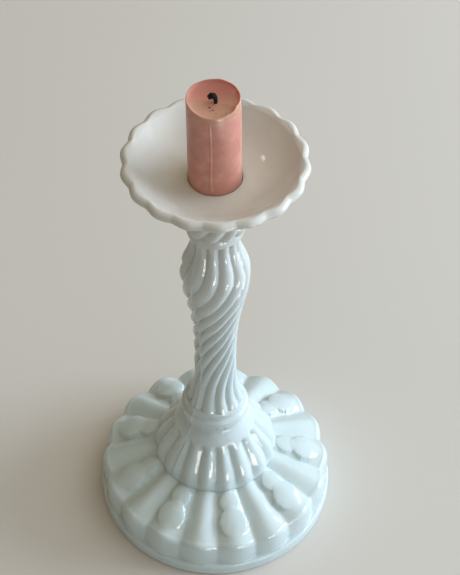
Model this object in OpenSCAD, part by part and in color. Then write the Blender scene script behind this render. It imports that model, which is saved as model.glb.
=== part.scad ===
// Pressed milk-glass candlestick with a petal foot, a twisted fluted stem and a scalloped drip pan.
// Six pressed glass pieces are joined hot, face to face, and a candle stub lifts out of the socket.
// Millimetres, +Z up, origin on the table under the middle of the foot. The front faces -Y.

/* [Foot] */
// Diameter of the plain round rim that stands on the table
foot_d = 112.8; // [96:0.2:136]
// Height of the plain rim
rim_h = 7; // [4:0.5:9]
// How far the petal wall stands in from the rim
rim_step = 1.2; // [0.6:0.1:2.5]
// Height of the notches between the petals at their outer edge
petal_edge_z = 17.6; // [14:0.2:20]
// How far a petal's end stands out beyond the notches beside it
petal_bulge = 1.9; // [0.8:0.1:3]
// How far a petal's crest rises above the notches at its outer edge
petal_rise = 2.2; // [0.8:0.1:3]
// Height of the flat seat that the dome stands on
seat_z = 28.4; // [25:0.2:34]
// Thickness of the pressed glass in the foot
foot_wall = 5; // [3.5:0.1:6]
// Diameter of the opening in the middle of the foot plate
well_d = 42; // [34:0.5:46]

/* [Cabochons] */
// Diameter of the large raised button on every second petal
big_button_d = 12; // [8:0.2:13]
// Distance of the large button from the axis
big_button_at = 43.6; // [41:0.2:46]
// Diameter of the small raised button
small_button_d = 8.4; // [6:0.2:9]
// Distance of the small button from the axis
small_button_at = 34.2; // [33:0.2:36]
// How far a button stands above its petal
button_h = 1.3; // [0.6:0.1:2]

/* [Dome] */
// Diameter over the rib ends of the gadrooned dome
dome_d = 58.8; // [52:0.2:62]
// Height of the dome from the foot's seat to the collar ring
dome_h = 31.8; // [26:0.2:38]
// Diameter of the plain neck at the top of the dome
dome_neck_d = 29.6; // [26:0.2:31]
// Depth of the grooves between the dome's ribs
rib_depth = 2.2; // [1:0.1:3]
// Thickness of the pressed glass in the dome
dome_wall = 5; // [3.5:0.1:6]

/* [Collar ring] */
// Largest diameter of the collar ring under the stem
collar_d = 31.8; // [30:0.2:36]
// Height of the collar ring
collar_h = 9.7; // [7:0.1:12]

/* [Stem] */
// Height of the stem between its two rings
stem_h = 112; // [90:1:136]
// Number of twisted flutes
flutes = 12; // [9:1:16]
// Depth of the grooves between the flutes
flute_depth = 1.5; // [0.6:0.1:1.8]
// Diameter over the flutes where the stem stands on the collar ring
stem_foot_d = 27.2; // [24:0.2:29]
// Diameter over the flutes at the waist
waist_d = 19.2; // [16:0.2:24]
// Height of the waist above the foot of the stem
waist_z = 27; // [20:0.5:34]
// Diameter over the flutes at the swollen knop
knop_d = 30.8; // [26:0.2:36]
// Height of the knop above the foot of the stem
knop_z = 87; // [75:0.5:88]
// Diameter over the flutes at the neck
stem_neck_d = 20.8; // [18:0.2:24]
// How far the flutes turn from the foot of the stem to the knop, in degrees
twist = 220; // [0:1:300]

/* [Neck ring] */
// Diameter of the neck ring under the candle cup
neck_ring_d = 25.2; // [22:0.2:27]
// Height of the neck ring
neck_ring_h = 5.5; // [4:0.1:8]

/* [Drip pan] */
// Diameter over the lobes of the pan's lip
pan_d = 77.2; // [66:0.2:92]
// Number of lobes on the lip
pan_lobes = 18; // [12:1:24]
// Depth of the notches between the lobes
lobe_depth = 1.3; // [0.5:0.1:2]
// Width of the thick lip
lip_w = 3; // [2:0.1:4.5]
// Height of the lip's outer edge
lip_h = 4.8; // [3.5:0.1:7]
// Depth of the bowl from the top of the lip to the floor round the candle
bowl_depth = 10.4; // [7:0.1:14]
// Thickness of the pan's glass
pan_wall = 3.4; // [2.5:0.1:5]
// Thickness of the candle cup from the socket to the crests of its swirled lobes
cup_wall = 3.9; // [3:0.1:7]
// Number of swirled lobes on the candle cup
cup_lobes = 12; // [8:1:20]
// Thickness of glass under the socket
socket_floor = 3.6; // [2.5:0.1:6]
// Depth of the candle socket below the bowl's floor
socket_depth = 22; // [16:0.5:28]

/* [Candle] */
// Diameter of the candle where it stands in the socket
candle_d = 22; // [20:0.1:23]
// How much narrower the candle is at its burnt top
candle_taper = 0.4; // [0:0.1:3]
// Height of the stub above the bowl's floor
stub_h = 42.5; // [20:0.5:120]
// Radial gap between the candle and its socket
candle_gap = 0.3; // [0.2:0.05:0.5]
// Depth of the pool of wax at the top
pool_depth = 1.6; // [0.8:0.1:3]
// Width of the raised edge round the pool
pool_edge = 0.9; // [0.6:0.1:1.5]

/* [Wick] */
// Diameter of the braided wick
wick_d = 2; // [1:0.1:2.4]
// Radial gap between the wick and the wax
wick_gap = 0.05; // [0.02:0.01:0.1]
// Height of the straight charred part above the pool
wick_h = 3.4; // [2:0.1:6]
// Radius of the curl at the wick's burnt end
curl_r = 1.7; // [1.5:0.1:3]

/* [Hidden] */

petals = 18;
petal_turn = 1.2;        // the notch nearest the front is turned this far past -Y
pan_turn = 2.7;          // the lip's notch nearest -X is turned this far past it
flute_turn = -91.3;      // direction of one groove at the foot of the stem
eps = 0.5;               // overshoot of a cutting shape

// Heights of the faces where the pieces meet
collar_z = seat_z + dome_h;
stem_z = collar_z + collar_h;
neck_ring_z = stem_z + stem_h;
cup_z = neck_ring_z + neck_ring_h;
socket_z = cup_z + socket_floor;
floor_z = socket_z + socket_depth;
lip_z = floor_z + bowl_depth;
stub_z = floor_z + stub_h;

// What fits round and in the socket
socket_d = candle_d + 2 * candle_gap;
cup_d = socket_d + 2 * cup_wall;
candle_top_d = candle_d - candle_taper;

// Radii of the foot's outline
rim_r = foot_d / 2;
crest_r = rim_r - rim_step;
notch_r = crest_r - petal_bulge;
seat_r = dome_d / 2 - 0.8;
plate_slope = (seat_z - petal_edge_z) / (notch_r - seat_r);

milk_glass = [0.90, 0.93, 0.94];
pink_wax = [0.80, 0.53, 0.49];
charred = [0.10, 0.09, 0.09];

// Helpers ------------------------------------------------------------------

function mix(a, b, t) = a + (b - a) * t;
function clamp01(t) = min(1, max(0, t));
function smooth(t) = t * t * (3 - 2 * t);

// A convex lobe between two sharp grooves: 0 in the groove, 1 on the crest
function lobe(angle, count, turn) =
    let (u = (angle - turn) * count / 360, v = 2 * (u - floor(u)) - 1) 1 - v * v;

// A solid skin through rings of points; its first and last ring are flat
module skin(rings) {
    n = len(rings[0]);
    m = len(rings);
    points = [for (ring = rings) for (p = ring) p];
    sides = [for (j = [0 : m - 2]) for (i = [0 : n - 1])
        let (a = j * n + i, b = j * n + (i + 1) % n)
        each [[a, a + n, b + n], [a, b + n, b]]];
    bottom = [for (i = [0 : n - 1]) i];
    top = [for (i = [n - 1 : -1 : 0]) (m - 1) * n + i];
    polyhedron(points = points, faces = concat([bottom], sides, [top]), convexity = 6);
}

function around(count, per_lobe) = [for (i = [0 : count * per_lobe - 1]) i * 360 / (count * per_lobe)];

// Foot ---------------------------------------------------------------------

// Angles round the foot, starting in a notch
petal_angles = [for (a = around(petals, 10)) a + petal_turn - 90];
function petal(a) = lobe(a, petals, petal_turn - 90);

// Height of the notch between two petals at a distance from the axis
function notch_at(r) = petal_edge_z + (notch_r - r) * plate_slope;

// A low round button on every second petal
function button(r, a, d, at) =
    let (pair = 720 / petals, middle = petal_turn - 90 + pair / 4)
    let (off = (a - middle + pair / 2) % pair - pair / 2)
    let (x = r * cos(off) - at, y = r * sin(off), q = 1 - 4 * (x * x + y * y) / (d * d))
    q > 0 ? button_h * sqrt(q) : 0;

function petal_top(r, a) =
    notch_at(r) + petal_rise * r / notch_r * petal(a)
    + max(button(r, a, big_button_d, big_button_at), button(r, a, small_button_d, small_button_at));

module petal_plate() {
    edge = 1.2;
    steps = 10;
    inner_r = seat_r + 1;
    function wall_ring(bulge, z, rise) = [for (a = petal_angles)
        let (r = crest_r - petal_bulge + bulge * petal(a)) [r * cos(a), r * sin(a), z + rise * petal(a)]];
    skin([
        wall_ring(petal_bulge, rim_h - eps, 0),
        wall_ring(petal_bulge, mix(rim_h, petal_edge_z, 0.5), 0),
        wall_ring(petal_bulge, petal_edge_z - edge, petal_rise * 0.8),
        wall_ring(petal_bulge - edge / 3, petal_edge_z - edge / 3, petal_rise * 0.9),
        for (i = [0 : steps])
            let (r = mix(notch_r - edge, inner_r, i / steps))
            [for (a = petal_angles) [r * cos(a), r * sin(a), petal_top(r, a)]],
        [for (a = petal_angles) [seat_r * cos(a), seat_r * sin(a), seat_z]]
    ]);
}

module foot_hollow() {
    inner_r = rim_r - foot_wall - 1.5;
    shoulder_r = inner_r - 2.5;
    rotate_extrude($fn = 120)
        polygon([
            [0, -eps],
            [inner_r, -eps],
            [inner_r, rim_h + 1],
            [shoulder_r, notch_at(shoulder_r) - foot_wall],
            [seat_r, seat_z - foot_wall],
            [well_d / 2, seat_z - foot_wall],
            [well_d / 2, seat_z + eps],
            [0, seat_z + eps]
        ]);
}

module petal_foot() color(milk_glass) difference() {
    union() {
        rotate_extrude($fn = 120)
            polygon([
                [0, 0],
                [rim_r - 0.6, 0],
                [rim_r, 0.8],
                [rim_r, rim_h - 1.8],
                [rim_r - 0.2, rim_h - 0.8],
                [rim_r - 0.7, rim_h],
                [0, rim_h]
            ]);
        petal_plate();
    }
    foot_hollow();
}

// Dome ---------------------------------------------------------------------

// Radius over the ribs at a share t of the dome's height: a cove, a slope and a foot drawn in
function dome_r(t) =
    let (draw_in = 8, swell = smooth(pow(clamp01((1 - t) / 0.9), 0.85)))
    mix(dome_neck_d, dome_d, swell) / 2 - draw_in * max(0, 0.1 - t);
function rib_share(t) = smooth(clamp01((0.77 - t) / 0.2));

module dome_shell() {
    rib_angles = [for (a = around(petals, 6)) a + petal_turn - 90];
    function ring(t) =
        let (r = dome_r(t), depth = rib_depth * rib_share(t))
        [for (a = rib_angles) let (q = r - depth * (1 - petal(a))) [q * cos(a), q * sin(a), seat_z + dome_h * t]];
    skin([for (t = [0, 0.05, 0.1, 0.24, 0.4, 0.54, 0.62, 0.7, 0.77, 0.88, 1]) ring(t)]);
}

module dome_hollow() {
    top_z = collar_z - 2 * dome_wall;
    function inner_r(t) = min(well_d / 2, dome_r(t) - rib_depth - dome_wall);
    rotate_extrude($fn = 96)
        polygon([
            [0, seat_z - eps],
            [well_d / 2, seat_z - eps],
            for (t = [0, 0.2, 0.4, 0.55]) [inner_r(t), seat_z + dome_h * t],
            [inner_r(0.6) - 2, top_z],
            [0, top_z]
        ]);
}

module gadroon_dome() color(milk_glass) difference() {
    dome_shell();
    dome_hollow();
}

// Rings --------------------------------------------------------------------

module collar_ring() color(milk_glass)
    rotate_extrude($fn = 96)
        polygon([
            [0, collar_z],
            [collar_d / 2 - 1.3, collar_z],
            [collar_d / 2 - 0.3, collar_z + 0.4],
            [collar_d / 2, collar_z + 1.3],
            [collar_d / 2 - 0.1, collar_z + 0.48 * collar_h],
            [collar_d / 2 - 0.5, collar_z + 0.58 * collar_h],
            [stem_foot_d / 2 + 0.7, stem_z - 0.7],
            [stem_foot_d / 2 + 0.1, stem_z],
            [0, stem_z]
        ]);

module neck_ring() color(milk_glass)
    rotate_extrude($fn = 96)
        polygon([
            [0, neck_ring_z],
            [neck_ring_d / 2 - 0.6, neck_ring_z],
            [neck_ring_d / 2, neck_ring_z + 0.6],
            [neck_ring_d / 2 - 0.2, cup_z - 0.8],
            [neck_ring_d / 2 - 0.6, cup_z],
            [0, cup_z]
        ]);

// Stem ---------------------------------------------------------------------

neck_z = stem_h - 5;

// Radius over the flutes at a height above the foot of the stem
function stem_r(z) =
    z < waist_z ? mix(waist_d, stem_foot_d, pow(1 - z / waist_z, 3.2)) / 2
    : z < knop_z ? mix(waist_d, knop_d, smooth(pow((z - waist_z) / (knop_z - waist_z), 1.6))) / 2
    : z < neck_z ? mix(knop_d, stem_neck_d, smooth((z - knop_z) / (neck_z - knop_z))) / 2
    : stem_neck_d / 2;

// Turn of the flutes: none at the foot, fastest in the middle, none again above the knop
function stem_turn(z) =
    let (start = 5, end = knop_z + 12) twist * smooth(clamp01((z - start) / (end - start)));

module twist_stem() color(milk_glass) {
    flute_points = 6;
    levels = 42;
    skin([for (j = [0 : levels])
        let (z = stem_h * j / levels, r = stem_r(z), turn = stem_turn(z))
        [for (a = around(flutes, flute_points))
            let (q = r - flute_depth * (1 - lobe(a, flutes, 0)), b = a + turn + flute_turn)
            [q * cos(b), q * sin(b), stem_z + z]]]);
}

// Drip pan -----------------------------------------------------------------

bowl_r = pan_d / 2 - lobe_depth - lip_w;
bowl_start_r = candle_d / 2 + 2;

// Height of the bowl's inside above its floor
function bowl_rise(r) = (bowl_depth - 0.5) * pow(clamp01((r - bowl_start_r) / (bowl_r - bowl_start_r)), 2.3);

module pan_body() {
    lip_points = 6;
    under_r = cup_d / 2 + 1.5;
    edge_r = pan_d / 2 - lobe_depth;
    function ring(notch, depth, z) = [for (a = around(pan_lobes, lip_points))
        let (turned = a + pan_turn, r = notch + depth * lobe(turned, pan_lobes, pan_turn))
        [r * cos(turned), r * sin(turned), z]];
    skin([
        ring(under_r - 2, 0, floor_z - pan_wall - 1),
        for (t = [0.25, 0.5, 0.7, 0.86])
            let (r = mix(under_r, edge_r - 1.4, t))
            ring(r, 0, min(lip_z - lip_h - 0.3, floor_z - pan_wall + bowl_rise(r + 1.2))),
        ring(edge_r - 1.4, lobe_depth * 0.7, lip_z - lip_h),
        ring(edge_r - 0.4, lobe_depth, lip_z - lip_h + 0.7),
        ring(edge_r, lobe_depth, lip_z - lip_h / 2),
        ring(edge_r - 0.3, lobe_depth, lip_z - 0.9),
        ring(edge_r - 1.1, lobe_depth * 0.8, lip_z - 0.2),
        ring(edge_r - 1.7, lobe_depth * 0.5, lip_z)
    ]);
}

module candle_cup() {
    cup_points = 6;
    swirl = 40;
    top_z = floor_z - 1;
    function cup_r(t) = cup_d / 2 - 1.2 * pow(1 - clamp01(t / 0.25), 2);
    skin([for (t = [0, 0.05, 0.12, 0.25, 0.4, 0.6, 0.8, 1])
        [for (a = around(cup_lobes, cup_points))
            let (depth = 1.1 * clamp01((1 - t) * 2.5), b = a + swirl * t)
            let (q = cup_r(t) - depth * (1 - lobe(a, cup_lobes, 0)))
            [q * cos(b), q * sin(b), mix(cup_z, top_z, t)]]]);
}

module bowl_hollow() {
    steps = 10;
    rotate_extrude($fn = 120)
        polygon([
            [0, floor_z],
            [bowl_start_r, floor_z],
            for (i = [1 : steps])
                let (r = mix(bowl_start_r, bowl_r, i / steps)) [r, floor_z + bowl_rise(r)],
            [bowl_r + 0.7, lip_z],
            [bowl_r + 0.7, lip_z + eps],
            [0, lip_z + eps]
        ]);
}

module drip_pan() color(milk_glass) difference() {
    union() {
        pan_body();
        candle_cup();
    }
    bowl_hollow();
    translate([0, 0, socket_z])
        cylinder(d = socket_d, h = socket_depth + eps, $fn = 96);
}

// Candle -------------------------------------------------------------------

module candle() color(pink_wax) difference() {
    union() {
        translate([0, 0, socket_z])
            cylinder(d = candle_d, h = socket_depth, $fn = 96);
        translate([0, 0, floor_z])
            cylinder(d1 = candle_d, d2 = candle_top_d, h = stub_h, $fn = 96);
    }
    rotate_extrude($fn = 96)
        polygon([
            [0, stub_z - pool_depth],
            [candle_top_d / 2 - pool_edge - 2, stub_z - pool_depth],
            [candle_top_d / 2 - pool_edge, stub_z],
            [candle_top_d / 2 - pool_edge, stub_z + eps],
            [0, stub_z + eps]
        ]);
    translate([0, 0, socket_z - eps])
        cylinder(d = wick_d + 2 * wick_gap, h = stub_z - socket_z, $fn = 48);
}

module wick() color(charred) {
    bend_z = stub_z - pool_depth + wick_h;
    translate([0, 0, socket_z])
        cylinder(d = wick_d, h = bend_z - socket_z, $fn = 48);
    translate([-curl_r, 0, bend_z])
        rotate([90, 0, 0])
            rotate_extrude(angle = 150, $fn = 48)
                translate([curl_r, 0])
                    circle(d = wick_d, $fn = 32);
}

petal_foot();
gadroon_dome();
collar_ring();
twist_stem();
neck_ring();
drip_pan();
candle();
wick();
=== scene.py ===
# %% [markdown]
# # A pressed milk-glass candlestick with a stub of pink candle
#
# The real candlestick is opaque white glass, pressed hot into iron moulds in several pieces and
# joined end to end while the glass still glows. Its beauty is in the moulded patterns: petals on
# the foot, ribs on the dome, twisted flutes on the stem and lobes round the pan. In this lesson
# each pressed piece is one closed mesh of its own, built round the upright axis, and the candle
# stands in its socket as a loose piece that can be lifted out.

# %% Load the measured model
import math
import random

import bpy
import numpy as np
from mathutils import Matrix, Vector


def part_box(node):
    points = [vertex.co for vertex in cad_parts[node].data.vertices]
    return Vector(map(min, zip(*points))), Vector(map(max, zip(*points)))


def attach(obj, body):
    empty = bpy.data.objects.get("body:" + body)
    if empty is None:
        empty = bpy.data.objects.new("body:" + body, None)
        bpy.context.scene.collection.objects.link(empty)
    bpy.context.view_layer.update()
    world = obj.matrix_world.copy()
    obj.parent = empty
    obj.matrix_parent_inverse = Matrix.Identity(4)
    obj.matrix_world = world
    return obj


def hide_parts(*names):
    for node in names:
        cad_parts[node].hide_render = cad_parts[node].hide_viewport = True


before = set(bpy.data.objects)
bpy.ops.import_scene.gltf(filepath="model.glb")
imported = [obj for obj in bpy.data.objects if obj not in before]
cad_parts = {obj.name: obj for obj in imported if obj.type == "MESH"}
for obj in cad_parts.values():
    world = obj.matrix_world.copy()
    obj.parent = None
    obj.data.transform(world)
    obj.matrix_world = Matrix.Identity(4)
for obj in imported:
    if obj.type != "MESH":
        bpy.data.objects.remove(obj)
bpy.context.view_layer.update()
print("measured pieces:", ", ".join(sorted(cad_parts)))

# %% [markdown]
# ## Heights and radii
#
# Every piece starts and ends at a height that the measured model gives. Reading them here, in
# millimetres, keeps the glass, the wax and the wick in step with it: if the stem grows, the
# flutes, the pan and the candle all follow.

# %% Read the joint lines
MM = 0.001


def low_mm(node):
    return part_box(node)[0] / MM


def high_mm(node):
    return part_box(node)[1] / MM


rim_r = high_mm("petal_foot").x
seat_z = low_mm("gadroon_dome").z
dome_r = high_mm("gadroon_dome").x
collar_z = low_mm("collar_ring").z
collar_r = high_mm("collar_ring").x
stem_z = low_mm("twist_stem").z
ring_z = low_mm("neck_ring").z
ring_r = high_mm("neck_ring").x
cup_z = low_mm("drip_pan").z
lip_z = high_mm("drip_pan").z
pan_r = high_mm("drip_pan").x
socket_z = low_mm("candle").z
candle_r = high_mm("candle").x
print("joint lines, mm:", [round(z, 1) for z in (seat_z, collar_z, stem_z, ring_z, cup_z, lip_z)])

# %% [markdown]
# ## Moulding round an axis
#
# A potter or a glass presser thinks of a piece as its section, swept round an axis. A grid
# primitive does that well: its rows follow the section and its columns go round. Wrapping the
# grid into a ring, with the radius and height of every point given by a rule, makes the petals
# and twisted flutes as exact as the mould. A spin would make only plain rings, and no operator
# twists flutes at a changing rate, so the points are placed by the rule. The seam where the
# grid's two edges meet is then welded, and the normals are turned outwards.

# %% Helpers for moulded pieces
def unselect_all():
    if bpy.context.object and bpy.context.object.mode != "OBJECT":
        bpy.ops.object.mode_set(mode="OBJECT")
    bpy.ops.object.select_all(action="DESELECT")


def lobe(angle, count, turn, soft=0.0):
    """Height across a convex lobe: 0 in the groove on each side, 1 on its crest.

    A soft lobe flows into its grooves instead of meeting them in a sharp line."""
    place = (angle - turn) * count / 360
    across = 2 * (place - np.floor(place)) - 1
    return (1 - soft) * (1 - across**2) + soft * (0.5 + 0.5 * np.cos(np.pi * across))


def blend_high(first, second, width):
    """The higher of two heights, with the corner between them rounded off."""
    return 0.5 * (first + second + np.sqrt((first - second) ** 2 + width**2))


def ease(t):
    """A soft step from 0 to 1."""
    t = np.clip(t, 0, 1)
    return t * t * (3 - 2 * t)


def smooth_line(points, spacing):
    """Points about one spacing apart on a smooth curve through a few chosen ones."""
    points = np.array(points, float)
    ends = [2 * points[0] - points[1], *points, 2 * points[-1] - points[-2]]
    line = [points[0]]
    for before, here, there, after in zip(ends, ends[1:], ends[2:], ends[3:]):
        cuts = max(1, round(float(np.linalg.norm(there - here)) / spacing))
        for t in np.arange(1, cuts + 1) / cuts:
            line.append(0.5 * (2 * here + (there - before) * t
                               + (2 * before - 5 * here + 4 * there - after) * t**2
                               + (3 * here - before - 3 * there + after) * t**3))
    return np.array(line)


def finish_piece(piece, body, node=None):
    """Welds, turns the faces outwards, smooths, and hands the piece to its body."""
    unselect_all()
    piece.select_set(True)
    bpy.context.view_layer.objects.active = piece
    bpy.ops.object.mode_set(mode="EDIT")
    bpy.ops.mesh.select_all(action="SELECT")
    bpy.ops.mesh.remove_doubles(threshold=0.000005)
    bpy.ops.mesh.normals_make_consistent(inside=False)
    bpy.ops.object.mode_set(mode="OBJECT")
    bpy.ops.object.shade_smooth()
    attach(piece, body)
    if node:
        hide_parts(node)
    print(piece.name, len(piece.data.polygons), "faces")
    return piece


def mould(name, columns, rule, section):
    """Wraps a grid round the axis: rule(row, angle) gives radius, angle and height in mm.

    The rows are those of the section, an array with a radius and a height on each line."""
    rows = len(section) - 1
    unselect_all()
    bpy.ops.mesh.primitive_grid_add(x_subdivisions=columns, y_subdivisions=rows, size=1)
    piece = bpy.context.object
    piece.name = piece.data.name = name
    flat = np.zeros(3 * len(piece.data.vertices))
    piece.data.vertices.foreach_get("co", flat)
    flat = flat.reshape(-1, 3)
    column = np.rint((flat[:, 0] + 0.5) * columns)
    row = np.rint((flat[:, 1] + 0.5) * rows).astype(int)
    radius, angle, height = rule(row, column * 360 / columns)
    around = np.radians(angle)
    placed = np.stack([radius * np.cos(around), radius * np.sin(around), height], axis=1) * MM
    piece.data.vertices.foreach_set("co", placed.ravel())
    piece.data.update()
    return piece


# %% [markdown]
# ## The mould's own marks
#
# An iron mould opens in two halves. Where they meet, the glass keeps a fine raised line, and one
# half sits a hair off the other, so ribs and flutes jump sideways there. The two lines stand
# opposite each other on the stem, the collar ring and the dome's neck.

# %% Mould seam values
SEAM_AT = -135.0
SEAM_PROUD = 0.42
SEAM_WIDE = 1.0
HALF_SHIFT = 8.0
HALF_STEP = 0.3


def on_far_half(angle):
    """1 on the half of the mould that sits a hair off, 0 on the other."""
    return (((angle - SEAM_AT) % 360) > 180).astype(float)


def seam_ridge(angle, radius):
    """The fine raised line at the two edges of the mould's halves, in mm."""
    off = np.abs((angle - SEAM_AT + 90) % 180 - 90)
    across = np.radians(off) * radius / SEAM_WIDE
    return SEAM_PROUD * np.exp(-(across * 2) ** 2)


# %% [markdown]
# ## The foot
#
# The foot is a hollow pressed saucer turned upside down: a plain round rim on the table, then a
# scalloped wall, then eighteen convex petals that climb to the dome. Every second petal carries
# two low round buttons, the larger one outside. The section is drawn once, and each of its rows
# has a share of the petal pattern: none on the rim, all of it sideways on the wall, and all of it
# upwards on the petals.

# %% Foot values
PETALS = 18
PETAL_TURN = -88.8
rim_top = 6.8
wall_foot_r = rim_r - 1.0
notch_r = rim_r - 3.1
bulge = 1.9
edge_z = 17.5
petal_rise = 2.3
edge_round = 2.3
seat_r = dome_r - 0.8
well_r = 21.0
foot_wall = 5.0
print("foot: petals", PETALS, "notches at radius", round(notch_r, 1), "mm")


def petal(angle, soft=0.3):
    return lobe(angle, PETALS, PETAL_TURN, soft)


# %% Foot section
RIM, WALL, EDGE, PLATE, UNDER = range(5)
rim_line = smooth_line([(rim_r - 1.4, 0), (rim_r - 0.5, 0.25), (rim_r, 1.1), (rim_r, 3.2),
                        (rim_r - 0.05, 5.0), (rim_r - 0.35, 6.2), (wall_foot_r, rim_top)], 0.45)
wall_rows, edge_rows, plate_rows = 26, 7, 56
seat_line = smooth_line([(seat_r - 1, seat_z), (well_r, seat_z)], 2.5)
hollow_line = np.array([(well_r, seat_z - foot_wall), (seat_r, seat_z - foot_wall),
                        (38, 20.0), (47.4, 15.2), (49.6, 10.5), (49.9, 7.0), (49.9, 1.2), (50.8, 0.2),
                        (52.0, 0), (rim_r - 1.4, 0)])

foot_rows = ([(RIM, r, z) for r, z in rim_line]
             + [(WALL, t, 0) for t in np.linspace(0, 1, wall_rows)]
             + [(EDGE, t, 0) for t in np.linspace(0, 1, edge_rows + 2)[1:-1]]
             + [(PLATE, t, 0) for t in np.linspace(0, 1, plate_rows)]
             + [(UNDER, r, z) for r, z in [*seat_line, *hollow_line]])
foot_rows = np.array(foot_rows)
print("foot section:", len(foot_rows), "rows")

# %% Buttons on every second petal
BIG_AT, BIG_R, BIG_H = 43.6, 6.8, 1.35
SMALL_AT, SMALL_R, SMALL_H = 34.3, 4.9, 1.0
BUTTON_BED = 0.6
BUTTON_BLEND = 0.7


def button(radius, angle, at, size, height):
    """A crowned disc on every second petal, above the level of the notches; none elsewhere."""
    pair = 720 / PETALS
    off = np.radians((angle - PETAL_TURN) % pair - pair / 4)
    apart = np.hypot(radius * np.cos(off) - at, radius * np.sin(off)) / size
    crown = height * np.clip(1 - apart**2, 0, None) ** 0.8
    return np.where(apart < 1, BUTTON_BED * petal_rise * at / notch_r + crown, -5)


# %% Foot rule
slope = (seat_z - edge_z) / (notch_r - seat_r)


def petal_top(r, angle, buttons=False):
    """Height of the petals' upper side, with or without the buttons."""
    along = (r - seat_r) / (notch_r - seat_r)
    extra = 0.5 * np.sin(np.pi * np.clip(along, 0, 1)) + bulge * slope
    above = (petal_rise * r / notch_r + extra) * petal(angle)
    if buttons:
        for at, size, high in ((BIG_AT, BIG_R, BIG_H), (SMALL_AT, SMALL_R, SMALL_H)):
            above = blend_high(above, button(r, angle, at, size, high) + extra, BUTTON_BLEND)
    return edge_z + (notch_r - r) * slope + above


def seated(height, r):
    """Lets the petals sink to the flat seat under the dome's edge."""
    return height + (seat_z - height) * ease((seat_r - 0.2 - r) / 0.8)


def foot_rule(row, angle):
    kind, first, second = foot_rows[row].T
    crest = petal(angle)
    edge_r = notch_r + bulge * crest
    corner_z = edge_z + petal_rise * crest
    radius, height = first.copy(), second.copy()

    wall = kind == WALL
    base = ease(first * 9)
    foot_flare = 0.5 * np.clip(1 - first * 3, 0, 1) ** 2
    wall_r = wall_foot_r + (edge_r - wall_foot_r) * base + foot_flare * base
    belly = 0.35 * np.sin(np.pi * first)
    climbed = np.clip((first - 0.08) / 0.92, 0, 1)
    radius[wall] = (wall_r + belly)[wall]
    height[wall] = (rim_top + (corner_z - edge_round - rim_top) * climbed)[wall]

    turn = kind == EDGE
    inner_r = edge_r - edge_round * 1.3
    bend = first * np.pi / 2
    radius[turn] = (inner_r + (edge_r - inner_r) * np.cos(bend))[turn]
    edge_low = corner_z - edge_round
    height[turn] = (edge_low + (petal_top(inner_r, angle) - edge_low) * np.sin(bend))[turn]

    plate = kind == PLATE
    plate_r = inner_r + (seat_r - 1 - inner_r) * first
    radius[plate] = plate_r[plate]
    height[plate] = seated(petal_top(plate_r, angle, buttons=True), plate_r)[plate]
    return radius, angle, height


foot = mould("petal_foot_glass", PETALS * 24, foot_rule, foot_rows)
finish_piece(foot, "candlestick", "petal_foot")

# %% [markdown]
# ## The gadrooned dome
#
# Eighteen fat ribs run down the dome. Above them the glass is a plain hollow curve up to the
# collar ring. The grooves start with round shoulders, which a share of the depth that eases in
# over a few millimetres gives, and they grow shallow again towards the foot. Two slow waves move
# the ribs a little to and fro, as in old pressed glass. The lowest rows are lifted on to the
# petals' upper side, so the joint between the two pressings is a fine closed line.

# %% Dome section
RIB_DEPTH = 2.3
RIB_TOP = 24.6
NECK_FROM = 20
dome_h = collar_z - seat_z
dome_outside = smooth_line([
    (dome_r - 2.05, 0), (dome_r - 1.2, 0.05), (dome_r - 0.6, 0.15), (dome_r - 0.4, 0.9),
    (dome_r - 0.15, 2.4), (dome_r - 0.1, 4.2), (dome_r - 0.3, 6.0), (dome_r - 1.2, 8.8),
    (dome_r - 3.3, 12.6), (dome_r - 6.0, 16.8), (dome_r - 8.5, 20.4), (dome_r - 10.6, 24.2),
    (dome_r - 12.7, 27.4), (dome_r - 14.4, 29.8), (dome_r - 15.0, dome_h)], 0.5)
dome_inside = smooth_line([(0.01, dome_h), (0.01, dome_h - 9.5), (8, dome_h - 9.8), (13, 18.5),
                           (18, 13), (21, 5), (21, 0)], 2.0)
dome_rows = np.vstack([dome_outside, dome_inside, dome_outside[:1]])
dome_last = len(dome_outside) - 1
print("dome section:", len(dome_rows), "rows")

# %% Dome
def dome_rule(row, angle):
    radius, height = dome_rows[row].T
    outside = row <= dome_last
    far_half = on_far_half(angle)
    share = ease((RIB_TOP - height) / 4.2) * (0.3 + 0.7 * ease((height - 0.8) / 5)) * outside
    uneven = (0.9 * np.sin(np.radians(4 * angle + 20))
              + 0.6 * np.sin(np.radians(7 * angle) + height / 6))
    ribs = 1 - petal(angle + HALF_SHIFT * 0.35 * far_half + uneven, 0.15)
    radius = radius - RIB_DEPTH * share * ribs
    neck = ease((height - NECK_FROM) / 4) * outside
    step = HALF_STEP * far_half * (height < dome_h)
    radius = radius + neck * (0.3 * seam_ridge(angle, radius) + step)
    low = outside & (height < 4) & (height > 0)
    on_petals = seated(petal_top(radius, angle), radius) - seat_z + 0.04
    height = np.where(low, np.maximum(height, on_petals), height)
    return radius, angle, seat_z + height


dome = mould("gadroon_dome_glass", PETALS * 20, dome_rule, dome_rows)
finish_piece(dome, "candlestick", "gadroon_dome")

# %% [markdown]
# ## The collar ring and the neck ring
#
# Between two pressed pieces the maker lays a ring of hot glass, called a merese. It is soft when
# it goes on, so its edge is a round band and the joint above and below it is a sharp line. The
# collar ring under the stem is the wide one, with a step in its side, and knocks have left
# three small chips in its lower edge.

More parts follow.
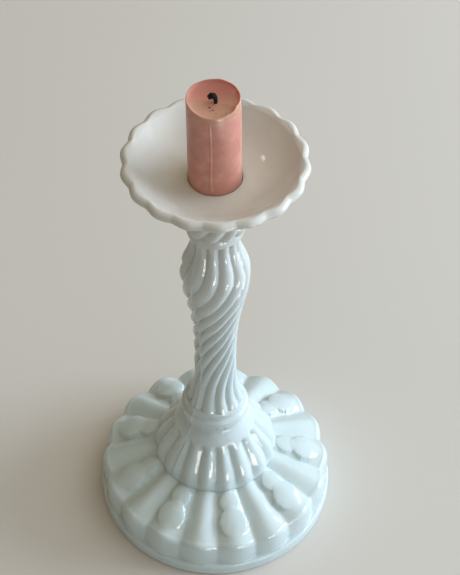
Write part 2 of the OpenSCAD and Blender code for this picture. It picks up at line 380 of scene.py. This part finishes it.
# %% Collar ring section
collar_h = stem_z - collar_z
collar_rows = np.vstack([
    [(0.01, 0)],
    smooth_line([(collar_r - 1.4, 0), (collar_r - 0.9, 0.1), (collar_r - 0.25, 0.6),
                 (collar_r + 0.1, 1.7), (collar_r + 0.1, 3.1), (collar_r - 0.1, 4.6),
                 (collar_r - 0.5, 5.3), (collar_r - 1.15, 5.8), (collar_r - 1.45, 6.6),
                 (collar_r - 1.5, 8.2), (collar_r - 1.65, collar_h - 0.4),
                 (collar_r - 1.95, collar_h)], 0.25),
    [(0.01, collar_h)]])
print("collar ring section:", len(collar_rows), "rows")

# %% Collar ring
COLLAR_CHIPS = ((-126, 1.5, 1.3, 0.8), (-88.5, 1.2, 1.0, 0.6), (-74.5, 1.2, 0.9, 0.5))


def bites(chips, angle, height, edge_r):
    """Depth in mm of the chips, each given as an angle, a height, a size and a depth."""
    depth = np.zeros_like(angle)
    for chip_angle, chip_z, size, deep in chips:
        off = (angle - chip_angle + 180) % 360 - 180
        away = np.hypot(np.radians(off) * edge_r, height - chip_z)
        depth = depth + deep * np.clip(1 - (away / size) ** 2, 0, 1)
    return depth


def collar_rule(row, angle):
    radius, height = collar_rows[row].T
    outer = ease((radius - collar_r + 2.6) / 1.2)
    step = HALF_STEP * on_far_half(angle)
    radius = radius + outer * (0.7 * seam_ridge(angle, radius) + step - HALF_STEP)
    radius = radius - outer * bites(COLLAR_CHIPS, angle, height, collar_r)
    return radius, angle, collar_z + height


collar = mould("collar_ring_glass", 360, collar_rule, collar_rows)
finish_piece(collar, "candlestick", "collar_ring")

# %% Neck ring
ring_h = cup_z - ring_z
ring_rows = np.vstack([
    [(0.01, 0)],
    smooth_line([(ring_r - 1.4, 0), (ring_r - 0.5, 0.25), (ring_r, 1.2), (ring_r - 0.05, 2.6),
                 (ring_r - 0.3, 4.2), (ring_r - 0.8, ring_h - 0.3), (ring_r - 1.4, ring_h)], 0.3),
    [(0.01, ring_h)]])


def ring_rule(row, angle):
    radius, height = ring_rows[row].T
    wander = 0.12 * np.sin(np.radians(3 * angle + 40)) + 0.07 * np.sin(np.radians(7 * angle))
    edge = radius > 5
    return radius + wander * edge - 0.19 * edge, angle, ring_z + height


neck_ring = mould("neck_ring_glass", 240, ring_rule, ring_rows)
finish_piece(neck_ring, "candlestick", "neck_ring")

# %% [markdown]
# ## The twisted stem
#
# Twelve flutes leave the collar ring straight, swing round the waist faster and faster, and are
# straight again above the knop. The turn is one soft step of the height, so the flutes have no
# kink. Each flute is a convex lobe with a sharp groove on both sides, and no two are quite alike.
# Rows set close together at both ends keep the smooth shading true up to the rings.

# %% Stem values
FLUTES = 12
FLUTE_DEPTH = 1.75
FLUTE_TURN = -91.3
TWIST = 220
TWIST_FROM, TWIST_TO = 5, 99
stem_h = ring_z - stem_z
FOOT_R, WAIST_R, KNOP_R, NECK_R = 13.6, 9.6, 15.4, 10.4
WAIST_Z, KNOP_Z, NECK_Z = 27, 87, stem_h - 5
END_ROWS = 0.6
print("stem:", round(stem_h, 1), "mm high, flutes turn", TWIST, "degrees")


def stem_radius(z):
    """Radius over the flutes: flared foot, slim waist, swollen knop, short neck."""
    flare = WAIST_R + (FOOT_R - WAIST_R) * np.clip(1 - z / WAIST_Z, 0, 1) ** 3.2
    climb = np.clip((z - WAIST_Z) / (KNOP_Z - WAIST_Z), 0, 1) ** 1.6
    swell = WAIST_R + (KNOP_R - WAIST_R) * ease(climb)
    fall = KNOP_R + (NECK_R - KNOP_R) * ease((z - KNOP_Z) / (NECK_Z - KNOP_Z))
    return np.where(z < WAIST_Z, flare, np.where(z < KNOP_Z, swell, fall))


# %% Stem
stem_levels = np.array([0, 0.05, 0.2, *np.linspace(END_ROWS, stem_h - END_ROWS, 178),
                        stem_h - 0.2, stem_h - 0.05, stem_h])
stem_rows = np.array([(0.01, 0), *[(1, z) for z in stem_levels], (0.01, stem_h)])


def stem_rule(row, angle):
    centre, height = stem_rows[row].T
    turn = TWIST * ease((height - TWIST_FROM) / (TWIST_TO - TWIST_FROM))
    radius = stem_radius(height)
    halves = HALF_SHIFT * on_far_half(angle)
    uneven = (1.4 * np.sin(np.radians(2 * angle + 40))
              + 0.8 * np.sin(np.radians(5 * angle) + height / 11))
    groove = 1 - lobe(angle - turn + halves + uneven, FLUTES, FLUTE_TURN) ** 0.85
    groove = groove * (1 - 0.6 * seam_ridge(angle, radius) / SEAM_PROUD)
    ends = 1 - 0.2 * ease((0.8 - height) / 0.8) - 0.5 * ease((height - stem_h + 0.8) / 0.8)
    radius = radius - FLUTE_DEPTH * groove * ends + 0.5 * seam_ridge(angle, radius)
    radius = np.where(centre < 1, 0.01, radius)
    return radius, angle, stem_z + height


stem = mould("twist_stem_glass", FLUTES * 28, stem_rule, stem_rows)
finish_piece(stem, "candlestick", "twist_stem")

# %% [markdown]
# ## The drip pan and its candle cup
#
# The pan is a shallow bowl with a thick lip of eighteen round lobes, two of them chipped. Under
# it sits the candle cup with twelve swirled lobes, whose lower edge is scalloped where it grips
# the neck ring. Inside the cup is the socket. It is all one pressing, so the section runs from
# the cup's foot, under the bowl, over the lip, down to the floor and into the socket.

# %% Pan section
PAN_LOBES = 18
PAN_TURN = 2.7
CUP_LOBES = 12
CUP_TURN = 4
CUP_SWIRL = 46
CUP_GROOVE = 1.5
lip_in_r = 33.9
bowl_depth = 10.4
floor_z = lip_z - bowl_depth
floor_r = candle_r + 2
socket_r = candle_r + 0.04
cup_r = 15.2
lobe_depth = 1.35
CUP, BOWL, LIP, INSIDE = range(4)
cup_line = smooth_line([(cup_r - 2.6, 0), (cup_r - 1.5, 0.25), (cup_r - 0.9, 1.2),
                        (cup_r - 0.25, 4.5), (cup_r, 9.0), (cup_r + 0.1, 14),
                        (cup_r + 0.6, 18.6), (cup_r + 1.9, 20.6)], 0.45)
bowl_line = smooth_line([(cup_r + 3.2, 21.6), (cup_r + 8, 23.2), (cup_r + 14, 26.3),
                         (cup_r + 18.5, 29.6), (pan_r - 3.4, 31.0)], 1.0)
lip_line = smooth_line([(pan_r - 2.4, 31.4), (pan_r - 1.0, 31.9), (pan_r - 0.25, 32.8), (pan_r, 33.9),
                        (pan_r - 0.3, 34.9), (pan_r - 1.1, 35.65), (pan_r - 2.1, 35.98),
                        (pan_r - 3.1, 35.75), (lip_in_r, 35.1)], 0.3)
bowl_out = np.linspace(lip_in_r, floor_r, 46)[1:]
bowl_rise = (bowl_depth - 0.9) * np.clip((bowl_out - floor_r) / (lip_in_r - floor_r), 0, 1) ** 2.2
floor_up, socket_up = floor_z - cup_z, socket_z - cup_z
inside_line = np.vstack([np.stack([bowl_out, floor_up + bowl_rise], axis=1),
                         [(socket_r + 0.5, floor_up), (socket_r + 0.1, floor_up - 0.15),
                          (socket_r, floor_up - 0.6), (socket_r, socket_up), (0.01, socket_up)]])
pan_rows = np.array([(CUP, 0.01, 0)] + [(CUP, r, z) for r, z in cup_line]
                    + [(BOWL, r, z) for r, z in bowl_line] + [(LIP, r, z) for r, z in lip_line]
                    + [(INSIDE, r, z) for r, z in inside_line])
print("pan section:", len(pan_rows), "rows")

# %% Drip pan
LIP_CHIPS = ((-71.5, 31.9, 1.4, 0.75), (-65.5, 32.6, 1.1, 0.6))


def pan_rule(row, angle):
    kind, radius, height = pan_rows[row].T
    outer = 1 - lobe(angle, PAN_LOBES, PAN_TURN, 0.55)
    reach = ease((radius - pan_r + 9) / 6.5)
    over_lip = ease((radius - lip_in_r + 0.2) / 2.6)
    shallow = np.where(kind == BOWL, reach, np.where(kind == LIP, over_lip, 0))
    radius_out = radius - lobe_depth * outer * shallow
    height_out = height - 0.25 * outer * shallow * (kind == LIP)

    cup = (kind == CUP) & (radius > 1)
    fade = ease((19.5 - height) / 6)
    swirl = CUP_SWIRL * height / 20
    grooves = 1 - lobe(angle - swirl, CUP_LOBES, CUP_TURN)
    radius_out = np.where(cup, radius - CUP_GROOVE * grooves * fade, radius_out)
    lift = 0.9 * grooves * ease((2.2 - height) / 2.2)
    height_out = np.where(cup & (height > 0.02), height + lift, height_out)

    radius_out = radius_out - bites(LIP_CHIPS, angle, height, pan_r) * (kind == LIP)
    return radius_out, angle, cup_z + height_out


pan = mould("drip_pan_glass", PAN_LOBES * 24, pan_rule, pan_rows)
finish_piece(pan, "candlestick", "drip_pan")

# %% [markdown]
# ## The candle
#
# A household candle is a dyed wax cylinder with a slight taper. This one has burnt down to a
# stub: its top has melted into a shallow dish with a thin rim, lower at the front where the wax
# ran over, with one small bead left standing on it. One thin run of wax has set on the side with
# a drop at its end. The stub leans a little above the pan, while its foot stands true in the
# socket, so it still lifts out straight.

# %% Candle section
TOP_R = candle_r - 0.3
FOOT_R_IN_SOCKET = candle_r - 0.12
RIM_TOP = 64.75
side_line = smooth_line([(FOOT_R_IN_SOCKET, 22), (candle_r - 0.1, 32), (candle_r - 0.15, 48),
                         (TOP_R, RIM_TOP - 1)], 0.7)
dish_line = smooth_line([(TOP_R, RIM_TOP - 1), (TOP_R - 0.07, RIM_TOP - 0.4),
                         (TOP_R - 0.25, RIM_TOP - 0.05), (TOP_R - 0.5, RIM_TOP - 0.08),
                         (TOP_R - 0.8, RIM_TOP - 0.45), (TOP_R - 1.8, RIM_TOP - 0.95),
                         (TOP_R - 3.6, RIM_TOP - 1.4), (TOP_R - 6.5, RIM_TOP - 1.75),
                         (1.6, RIM_TOP - 1.85), (0.01, RIM_TOP - 1.8)], 0.25)
foot_line = [(0.01, 0), (candle_r - 0.5, 0), (FOOT_R_IN_SOCKET, 0.5), (FOOT_R_IN_SOCKET, 12)]
candle_rows = np.vstack([foot_line, side_line, dish_line[1:]])
side_last = len(foot_line) + len(side_line) - 1
print("candle section:", len(candle_rows), "rows")

# %% Melting, leaning and runs
LEAN_MM = 0.75
RUN_AT, RUN_R = -97.5, 0.3
BEAD_AT = -33
MELT_ANGLES = (-180, -160, -130, -90, -50, -39, -28, 0, 90)
MELT_DROPS = (0.1, 0.6, 1.5, 2.0, 1.75, 1.2, 0.15, 0, 0)


def melted(radius, angle):
    """How far the flame and the overflow have lowered the top, in mm: most at the front."""
    drop = np.interp(angle, MELT_ANGLES, MELT_DROPS, period=360)
    return drop * np.clip(radius / TOP_R, 0, 1) ** 1.5


def leaning(height):
    """The stub stands a little askew, leaning towards -X above the pan's floor."""
    return -LEAN_MM * np.clip((height - 22) / 42, 0, 1.1)


def wax_run(height, angle):
    """How far the set run of wax, and the drop at its end, stand out of the side, in mm."""
    off = (angle - RUN_AT + 180) % 360 - 180
    across = np.radians(off) * candle_r
    run = RUN_R * np.exp(-((across - 0.15 * np.sin(height / 6)) / 0.34) ** 2)
    run = run * ease((height - 23.8) / 1.5) * ease((61.5 - height) / 3)
    drop = 0.75 * np.exp(-(across / 0.75) ** 2 - ((height - 25.2) / 1.15) ** 2)
    drop = drop - 0.45 * np.exp(-(across / 0.4) ** 2 - ((height - 26.4) / 1.0) ** 2)
    return np.maximum(run, drop)


# %% Candle
def candle_rule(row, angle):
    radius, height = candle_rows[row].T
    around = np.radians(angle)
    up = np.clip((height - 40) / (RIM_TOP - 41), 0, 1)
    height_out = height - melted(radius, angle) * up**4
    rim = (row > side_last - 2) & (radius > TOP_R - 1.2)
    off_bead = (angle - BEAD_AT + 180) % 360 - 180
    bead = 0.4 * np.exp(-(off_bead / 5) ** 2)
    wobble = 0.1 * np.sin(5 * around + 1) + 0.07 * np.sin(11 * around) + bead
    height_out = height_out + np.where(rim, wobble, 0)
    sag = 0.12 * np.sin(2 * around + 0.6) + 0.07 * np.sin(5 * around + height / 7)
    above_pan = np.clip((height - 23) / 10, 0, 1)
    radius_out = radius + np.where(radius > 5, (sag - 0.1) * above_pan, 0)
    radius_out = radius_out + np.where(row <= side_last, wax_run(height, angle), 0)
    x = radius_out * np.cos(around) + leaning(height)
    y = radius_out * np.sin(around)
    return np.hypot(x, y), np.degrees(np.arctan2(y, x)), socket_z + height_out


candle = mould("pink_candle", 320, candle_rule, candle_rows)
finish_piece(candle, "candle", "candle")

# %% [markdown]
# ## The wick
#
# A wick is braided cotton. Where it has burnt it is black and brittle, thicker at the tip where
# soot has caked on it, and it curls over to one side. Three strands wound round one centre line
# make the braid, each a bevelled curve that is then turned into a mesh.

# %% Wick values
STRANDS = 3
WICK_R = 0.47
STRAND_OFF = 0.33
TWIST_EVERY = 2.8
wick_base = socket_z + RIM_TOP - 2.1
wick_path = smooth_line([(0.2, -1.2, wick_base - 6), (0.2, -1.2, wick_base),
                         (0.2, -1.2, wick_base + 1.3), (-0.1, -1.2, wick_base + 2.7),
                         (-0.6, -1.2, wick_base + 3.6), (-1.3, -1.2, wick_base + 3.8),
                         (-1.9, -1.2, wick_base + 3.3), (-2.1, -1.15, wick_base + 2.6)], 0.2)
print("wick path:", len(wick_path), "points")

# %% One strand of the braid
def strand(index, path):
    """One strand, wound round the path, as a bevelled curve made into a mesh."""
    unselect_all()
    bpy.ops.curve.primitive_nurbs_path_add()
    curve_object = bpy.context.object
    curve_object.data.splines.clear()
    spline = curve_object.data.splines.new("POLY")
    spline.points.add(len(path) - 1)
    travelled = 0.0
    for i, place in enumerate(path):
        ahead = path[min(i + 1, len(path) - 1)] - path[max(i - 1, 0)]
        ahead = ahead / np.linalg.norm(ahead)
        side = np.array([0.0, 1.0, 0.0])
        other = np.cross(ahead, side)
        turn = 2 * math.pi * (travelled / TWIST_EVERY + index / STRANDS)
        along = i / len(path)
        grown = 1 + 0.55 * ease((along - 0.55) / 0.3) - 0.35 * ease((along - 0.9) / 0.1)
        point = place + STRAND_OFF * grown * (math.cos(turn) * side + math.sin(turn) * other)
        spline.points[i].co = (*(point * MM), 1)
        spline.points[i].radius = grown
        if i + 1 < len(path):
            travelled += float(np.linalg.norm(path[i + 1] - place))
    curve_object.data.dimensions = "3D"
    curve_object.data.bevel_depth = WICK_R * MM
    curve_object.data.bevel_resolution = 4
    curve_object.data.use_fill_caps = True
    bpy.ops.object.convert(target="MESH")
    made = bpy.context.object
    made.data.transform(made.matrix_world)
    made.matrix_world = Matrix.Identity(4)
    return made


# %% Wick
strands = [strand(i, wick_path) for i in range(STRANDS)]
unselect_all()
for piece in strands:
    piece.select_set(True)
bpy.context.view_layer.objects.active = strands[0]
bpy.ops.object.join()
wick = bpy.context.object
wick.name = wick.data.name = "burnt_wick"
finish_piece(wick, "candle", "wick")

# %% [markdown]
# ## Ember and soot
#
# The flame has only just gone out: one speck at the tip still glows, and a few flakes of soot
# lie in the wax in front of the wick.

# %% Flakes
rng = random.Random(7)


def flake(name, place, size, flat):
    """A small lumpy speck from an icosphere, flattened and pushed about."""
    unselect_all()
    bpy.ops.mesh.primitive_ico_sphere_add(subdivisions=3, radius=size * MM, location=Vector(place) * MM)
    speck = bpy.context.object
    speck.name = speck.data.name = name
    bpy.ops.object.transform_apply(location=True, rotation=True, scale=True)
    centre = Vector(place) * MM
    for vertex in speck.data.vertices:
        away = vertex.co - centre
        ripple = math.sin(9 * away.x / (size * MM) + 2 * away.y / (size * MM))
        lump = 1 + 0.3 * ripple * rng.uniform(0.6, 1)
        away = away * lump
        away.z *= flat
        vertex.co = centre + away
    return finish_piece(speck, "candle")


def wax_level(x, y):
    """Height of the wax in the dish at a place on the candle's top."""
    radius = math.hypot(x + LEAN_MM, y)
    angle = math.degrees(math.atan2(y, x + LEAN_MM))
    dish = dish_line[::-1]
    return socket_z + float(np.interp(radius, dish[:, 0], dish[:, 1]) - melted(radius, angle))


# %% Ember and soot
tip = wick_path[-1]
ember = flake("wick_ember", (tip[0] - 0.45, tip[1] - 0.35, tip[2] + 0.25), size=0.5, flat=0.9)
SOOT_PLACES = ((-2.2, -3.9, 0.32), (-0.9, -5.3, 0.25), (-2.0, -5.6, 0.18), (4.0, -6.6, 0.17),
               (-1.3, -4.7, 0.15), (0.3, -7.0, 0.15))
soot = [flake(f"soot_flake_{i + 1}", (x, y, wax_level(x, y) + 0.1), size, flat=0.6)
        for i, (x, y, size) in enumerate(SOOT_PLACES)]

# %% [markdown]
# ## Materials
#
# Every material is made of shader nodes on object coordinates, so a pattern stays with its piece
# when the piece moves. One small function adds a node with its settings and its links.

# %% Material helpers
def linear(hex_colour):
    """An sRGB hex colour as the linear values that Blender's shaders use."""
    channels = [int(hex_colour[i:i + 2], 16) / 255 for i in (1, 3, 5)]
    return [c / 12.92 if c <= 0.04045 else ((c + 0.055) / 1.055) ** 2.4 for c in channels] + [1.0]


def add(tree, kind, settings=None, links=None):
    """Adds a node, sets its values and inputs, and links its inputs to other nodes' outputs."""
    node = tree.nodes.new(kind)
    for key, value in (settings or {}).items():
        if isinstance(key, str) and hasattr(node, key):
            setattr(node, key, value)
        else:
            node.inputs[key].default_value = value
    for key, source in (links or {}).items():
        tree.links.new(source, node.inputs[key])
    return node


def new_material(name):
    """A new material with only its output and the object coordinates."""
    material = bpy.data.materials.new(name)
    material.use_nodes = True
    tree = material.node_tree
    tree.nodes.clear()
    output = add(tree, "ShaderNodeOutputMaterial")
    place = add(tree, "ShaderNodeTexCoord")
    return material, tree, output, place.outputs["Object"]


def colour_steps(tree, source, stops):
    """A colour ramp from a list of (place, hex colour)."""
    ramp = add(tree, "ShaderNodeValToRGB", links={"Fac": source})
    while len(ramp.color_ramp.elements) < len(stops):
        ramp.color_ramp.elements.new(0.5)
    for element, (place, colour) in zip(ramp.color_ramp.elements, stops):
        element.position = place
        element.color = linear(colour)
    return ramp.outputs["Color"]


def wear(piece, material):
    """Gives a piece its one material."""
    piece.data.materials.clear()
    piece.data.materials.append(material)


# %% [markdown]
# ### Milk glass
#
# Opaque white glass, pressed and then fire polished. It is clouded all through, so light goes
# a millimetre or two into it and comes out softened, bluish where the glass is thin. Its skin
# is a true glass surface, IOR 1.5, with the faint waves that the mould and the fire leave: long
# ones about 7 mm apart, and a finer orange-peel of about 1.2 mm. A noise of scale S has waves
# about 1/S metre long. The batch is a little bluer in the foot than in the pan, so the colour
# is a ramp over the height.

# %% Milk glass
WAVES_PER_M = 140.0
PEEL_PER_M = 800.0
GLASS_TINTS = [(0.0, "#CEDEDF"), (0.45, "#CFDCDC"), (0.75, "#D2D8D5"), (0.93, "#D6D5CC"),
               (1.0, "#DADAD3")]


def milk_glass():
    material, tree, output, place = new_material("milk_glass_pressed")
    parts = add(tree, "ShaderNodeSeparateXYZ", links={"Vector": place})
    climb = add(tree, "ShaderNodeMapRange", {"From Min": 0.0, "From Max": lip_z * MM},
                {"Value": parts.outputs["Z"]})
    tint = colour_steps(tree, climb.outputs["Result"], GLASS_TINTS)
    cloud = add(tree, "ShaderNodeTexNoise", {"Scale": 38.0, "Detail": 2.0, "Roughness": 0.5},
                {"Vector": place})
    pale = add(tree, "ShaderNodeMapRange", {"To Min": 0.93, "To Max": 1.05},
               {"Value": cloud.outputs["Fac"]})
    body = add(tree, "ShaderNodeVectorMath", {"operation": "SCALE"},
               {0: tint, "Scale": pale.outputs["Result"]})
    waves = add(tree, "ShaderNodeTexNoise", {"Scale": WAVES_PER_M, "Detail": 1.0}, {"Vector": place})
    peel = add(tree, "ShaderNodeTexNoise", {"Scale": PEEL_PER_M, "Detail": 1.0}, {"Vector": place})
    long_bump = add(tree, "ShaderNodeBump", {"Strength": 0.5, "Distance": 0.0005},
                    {"Height": waves.outputs["Fac"]})
    fine_bump = add(tree, "ShaderNodeBump", {"Strength": 0.12, "Distance": 0.00006},
                    {"Height": peel.outputs["Fac"], "Normal": long_bump.outputs["Normal"]})
    dust = add(tree, "ShaderNodeTexNoise", {"Scale": 90.0, "Detail": 4.0}, {"Vector": place})
    sheen = add(tree, "ShaderNodeMapRange",
                {"From Min": 0.35, "From Max": 0.7, "To Min": 0.05, "To Max": 0.12},
                {"Value": dust.outputs["Fac"]})
    glass = add(tree, "ShaderNodeBsdfPrincipled",
                {"IOR": 1.5, "Subsurface Weight": 0.15, "Subsurface Radius": (1.0, 1.1, 1.25),
                 "Subsurface Scale": 0.0016},
                {"Base Color": body.outputs["Vector"], "Roughness": sheen.outputs["Result"],
                 "Normal": fine_bump.outputs["Normal"]})
    tree.links.new(glass.outputs["BSDF"], output.inputs["Surface"])
    return material


glass_material = milk_glass()
glass_pieces = (foot, dome, collar, neck_ring, stem, pan)
for piece in glass_pieces:
    wear(piece, glass_material)
print("milk glass on", len(glass_pieces), "pieces")

# %% [markdown]
# ### Candle wax
#
# Dyed paraffin wax: soft, slightly see-through, with a satin side. The side is a dusty pink with
# mottling where the dye has settled. The top, which was liquid last, is glossier, and paler where
# melted wax has gathered at the front. Its edge down the side is ragged, as the heat left it.

# %% Candle wax
WAX_SIDE = [(0.3, "#C98678"), (0.55, "#D49686"), (0.75, "#DDA696")]
WAX_TOP = [(0.05, "#CFA18B"), (0.4, "#CD9984"), (0.65, "#C48273"), (1.0, "#BA7468")]
MELT_FROM, MELT_TO = socket_z + 59, socket_z + 62.6


def candle_wax():
    material, tree, output, place = new_material("dyed_paraffin_wax")
    parts = add(tree, "ShaderNodeSeparateXYZ", links={"Vector": place})
    mottle = add(tree, "ShaderNodeTexNoise", {"Scale": 150.0, "Detail": 4.0, "Roughness": 0.55},
                 {"Vector": place})
    side = colour_steps(tree, mottle.outputs["Fac"], WAX_SIDE)
    dish = add(tree, "ShaderNodeMapRange", {"From Min": -0.009, "From Max": 0.009},
               {"Value": parts.outputs["Y"]})
    wax_top = colour_steps(tree, dish.outputs["Result"], WAX_TOP)
    ragged = add(tree, "ShaderNodeMapRange", {"To Min": -0.003, "To Max": 0.003},
                 {"Value": mottle.outputs["Fac"]})
    level = add(tree, "ShaderNodeMath", {"operation": "ADD"},
                {0: parts.outputs["Z"], 1: ragged.outputs["Result"]})
    high = add(tree, "ShaderNodeMapRange", {"From Min": MELT_FROM * MM, "From Max": MELT_TO * MM},
               {"Value": level.outputs["Value"]})
    colour = add(tree, "ShaderNodeMix", {"data_type": "RGBA"},
                 {0: high.outputs["Result"], 6: side, 7: wax_top})
    grain = add(tree, "ShaderNodeTexNoise", {"Scale": 900.0, "Detail": 3.0}, {"Vector": place})
    bump = add(tree, "ShaderNodeBump", {"Strength": 0.25, "Distance": 0.0001},
               {"Height": grain.outputs["Fac"]})
    gloss = add(tree, "ShaderNodeMapRange", {"To Min": 0.42, "To Max": 0.2},
                {"Value": high.outputs["Result"]})
    wax = add(tree, "ShaderNodeBsdfPrincipled",
              {"IOR": 1.44, "Subsurface Weight": 0.45, "Subsurface Radius": (1.6, 0.7, 0.5),
               "Subsurface Scale": 0.002},
              {"Base Color": colour.outputs[2], "Roughness": gloss.outputs["Result"],
               "Normal": bump.outputs["Normal"]})
    tree.links.new(wax.outputs["BSDF"], output.inputs["Surface"])
    return material


wear(candle, candle_wax())

# %% [markdown]
# ### Burnt cotton, soot and ember
#
# Charred cotton is a dull black with crumbs of ash. The ember is the same char with a little
# red light of its own.

# %% Burnt cotton
def burnt_cotton(name, dark, pale, glow=None):
    material, tree, output, place = new_material(name)
    crumbs = add(tree, "ShaderNodeTexNoise", {"Scale": 1800.0, "Detail": 4.0}, {"Vector": place})
    colour = colour_steps(tree, crumbs.outputs["Fac"], [(0.45, dark), (0.75, pale)])
    bump = add(tree, "ShaderNodeBump", {"Strength": 0.8, "Distance": 0.0003},
               {"Height": crumbs.outputs["Fac"]})
    settings = {"Roughness": 0.85, "IOR": 1.45}
    if glow:
        settings["Emission Color"] = linear(glow)
        settings["Emission Strength"] = 1.2
    char = add(tree, "ShaderNodeBsdfPrincipled", settings,
               {"Base Color": colour, "Normal": bump.outputs["Normal"]})
    tree.links.new(char.outputs["BSDF"], output.inputs["Surface"])
    return material


char_material = burnt_cotton("charred_cotton", "#0C0A0A", "#2A2422")
wear(wick, char_material)
for piece in soot:
    wear(piece, char_material)
wear(ember, burnt_cotton("glowing_ember", "#7A1410", "#C0302A", "#D02020"))

# %% [markdown]
# ## Table, light and camera
#
# The candlestick stands on a pale matt table by a low, wide window on its right. The window and
# the bright wall over it give a soft shadow to the left. The rest of the room is a gentle fill,
# cool on the right and dark and warm on the left, which the world's colour gives by direction.
# Three small cards show only in the glass's gloss. They stand for bright things in the room and
# give the small sharp glints that tell the eye that this is glass. The table has no gloss of its
# own, so that the cards don't show in it.

# %% Table
TABLE_SIZE = 8
unselect_all()
bpy.ops.mesh.primitive_plane_add(size=TABLE_SIZE, location=(0, 0, 0))
table = bpy.context.object
table.name = "table_top"
table_material, table_tree, table_output, table_place = new_material("pale_table")
tone = add(table_tree, "ShaderNodeTexNoise", {"Scale": 3.0, "Detail": 1.0}, {"Vector": table_place})
table_colour = colour_steps(table_tree, tone.outputs["Fac"], [(0.3, "#D2CFC8"), (0.7, "#D6D3CD")])
table_shader = add(table_tree, "ShaderNodeBsdfPrincipled",
                   {"Roughness": 0.9, "Specular IOR Level": 0.0}, {"Base Color": table_colour})
table_tree.links.new(table_shader.outputs["BSDF"], table_output.inputs["Surface"])
wear(table, table_material)

# %% Room light
WALLS = [(0.0, "#21170A"), (0.3, "#40321C"), (0.5, "#8B847A"), (0.7, "#BFC8D0"), (1.0, "#D3E1F0")]
CEILING = [(0.0, "#A8926C"), (0.5, "#CDC0A9"), (1.0, "#DADAD6")]
ROOM_STRENGTH = 0.96
world = bpy.data.worlds.new("room")
bpy.context.scene.world = world
world.use_nodes = True
sky = world.node_tree
sky.nodes.clear()
sky_out = add(sky, "ShaderNodeOutputWorld")
direction = add(sky, "ShaderNodeTexCoord")
sides = add(sky, "ShaderNodeSeparateXYZ", links={"Vector": direction.outputs["Generated"]})
towards = add(sky, "ShaderNodeMath", {"operation": "MULTIPLY_ADD", 1: -0.35},
              {0: sides.outputs["Y"], 2: sides.outputs["X"]})
across = add(sky, "ShaderNodeMapRange", {"From Min": -0.9, "From Max": 0.9},
             {"Value": towards.outputs["Value"]})
walls = colour_steps(sky, across.outputs["Result"], WALLS)
ceiling = colour_steps(sky, across.outputs["Result"], CEILING)
above = add(sky, "ShaderNodeMapRange",
            {"interpolation_type": "SMOOTHSTEP", "From Min": 0.3, "From Max": 0.95},
            {"Value": sides.outputs["Z"]})
room_colour = add(sky, "ShaderNodeMix", {"data_type": "RGBA"},
                  {0: above.outputs["Result"], 6: walls, 7: ceiling})
room = add(sky, "ShaderNodeBackground", {"Strength": ROOM_STRENGTH},
           {"Color": room_colour.outputs[2]})
sky.links.new(room.outputs["Background"], sky_out.inputs["Surface"])

# %% Window, wall and glint cards
def area_light(name, place, aim, width, height, power, colour):
    """A flat lamp at a place, in metres, turned to face the point that it is aimed at."""
    unselect_all()
    bpy.ops.object.light_add(type="AREA", location=place)
    lamp = bpy.context.object
    lamp.name = name
    lamp.data.shape = "RECTANGLE"
    lamp.data.size = width
    lamp.data.size_y = height
    lamp.data.energy = power
    lamp.data.color = linear(colour)[:3]
    lamp.rotation_euler = (Vector(aim) - Vector(place)).to_track_quat("-Z", "Y").to_euler()
    return lamp


area_light("window", place=(1.35, 0.2, 0.45), aim=(0, 0, 0.14),
           width=1.0, height=0.32, power=19.5, colour="#DAE9FC")
bright_wall = area_light("bright_wall", place=(0.8, 0.35, 1.25), aim=(0, 0, 0.1),
                         width=1.2, height=1.2, power=8, colour="#E3E8EA")
bright_wall.visible_glossy = False
front_glints = area_light("front_glints", place=(0.51, -1.41, 0.16), aim=(0, 0, 0.18),
                          width=0.09, height=0.13, power=0.8, colour="#FFF6EA")
table_glint = area_light("table_glint", place=(0.18, -0.3, 0.015), aim=(0, 0, 0.165),
                         width=0.16, height=0.1, power=0.6, colour="#FFF6EA")
back_glint = area_light("back_glint", place=(-0.6, 0.85, 1.45), aim=(0, 0, 0.2),
                        width=0.16, height=0.1, power=0.3, colour="#FFF8EE")
for card in (front_glints, table_glint, back_glint):
    card.visible_diffuse = False
    card.visible_camera = False

# %% Camera
CAMERA_PLACE = (0.0, -0.45543, 0.66862)
PITCH_DOWN, TURN_RIGHT, LEAN = 0.85505, 0.01403, 0.01031
LENS_MM, FILM_MM = 100.17, 36
bpy.ops.object.camera_add()
camera = bpy.context.object
camera.name = "camera"
camera.data.sensor_width = FILM_MM
camera.data.lens = LENS_MM
camera.matrix_world = (Matrix.Translation(CAMERA_PLACE) @ Matrix.Rotation(-TURN_RIGHT, 4, "Z")
                       @ Matrix.Rotation(math.pi / 2 - PITCH_DOWN, 4, "X")
                       @ Matrix.Rotation(LEAN, 4, "Z"))
camera.data.clip_start, camera.data.clip_end = 0.01, 20
bpy.context.scene.camera = camera
bpy.context.scene.view_settings.view_transform = "Standard"
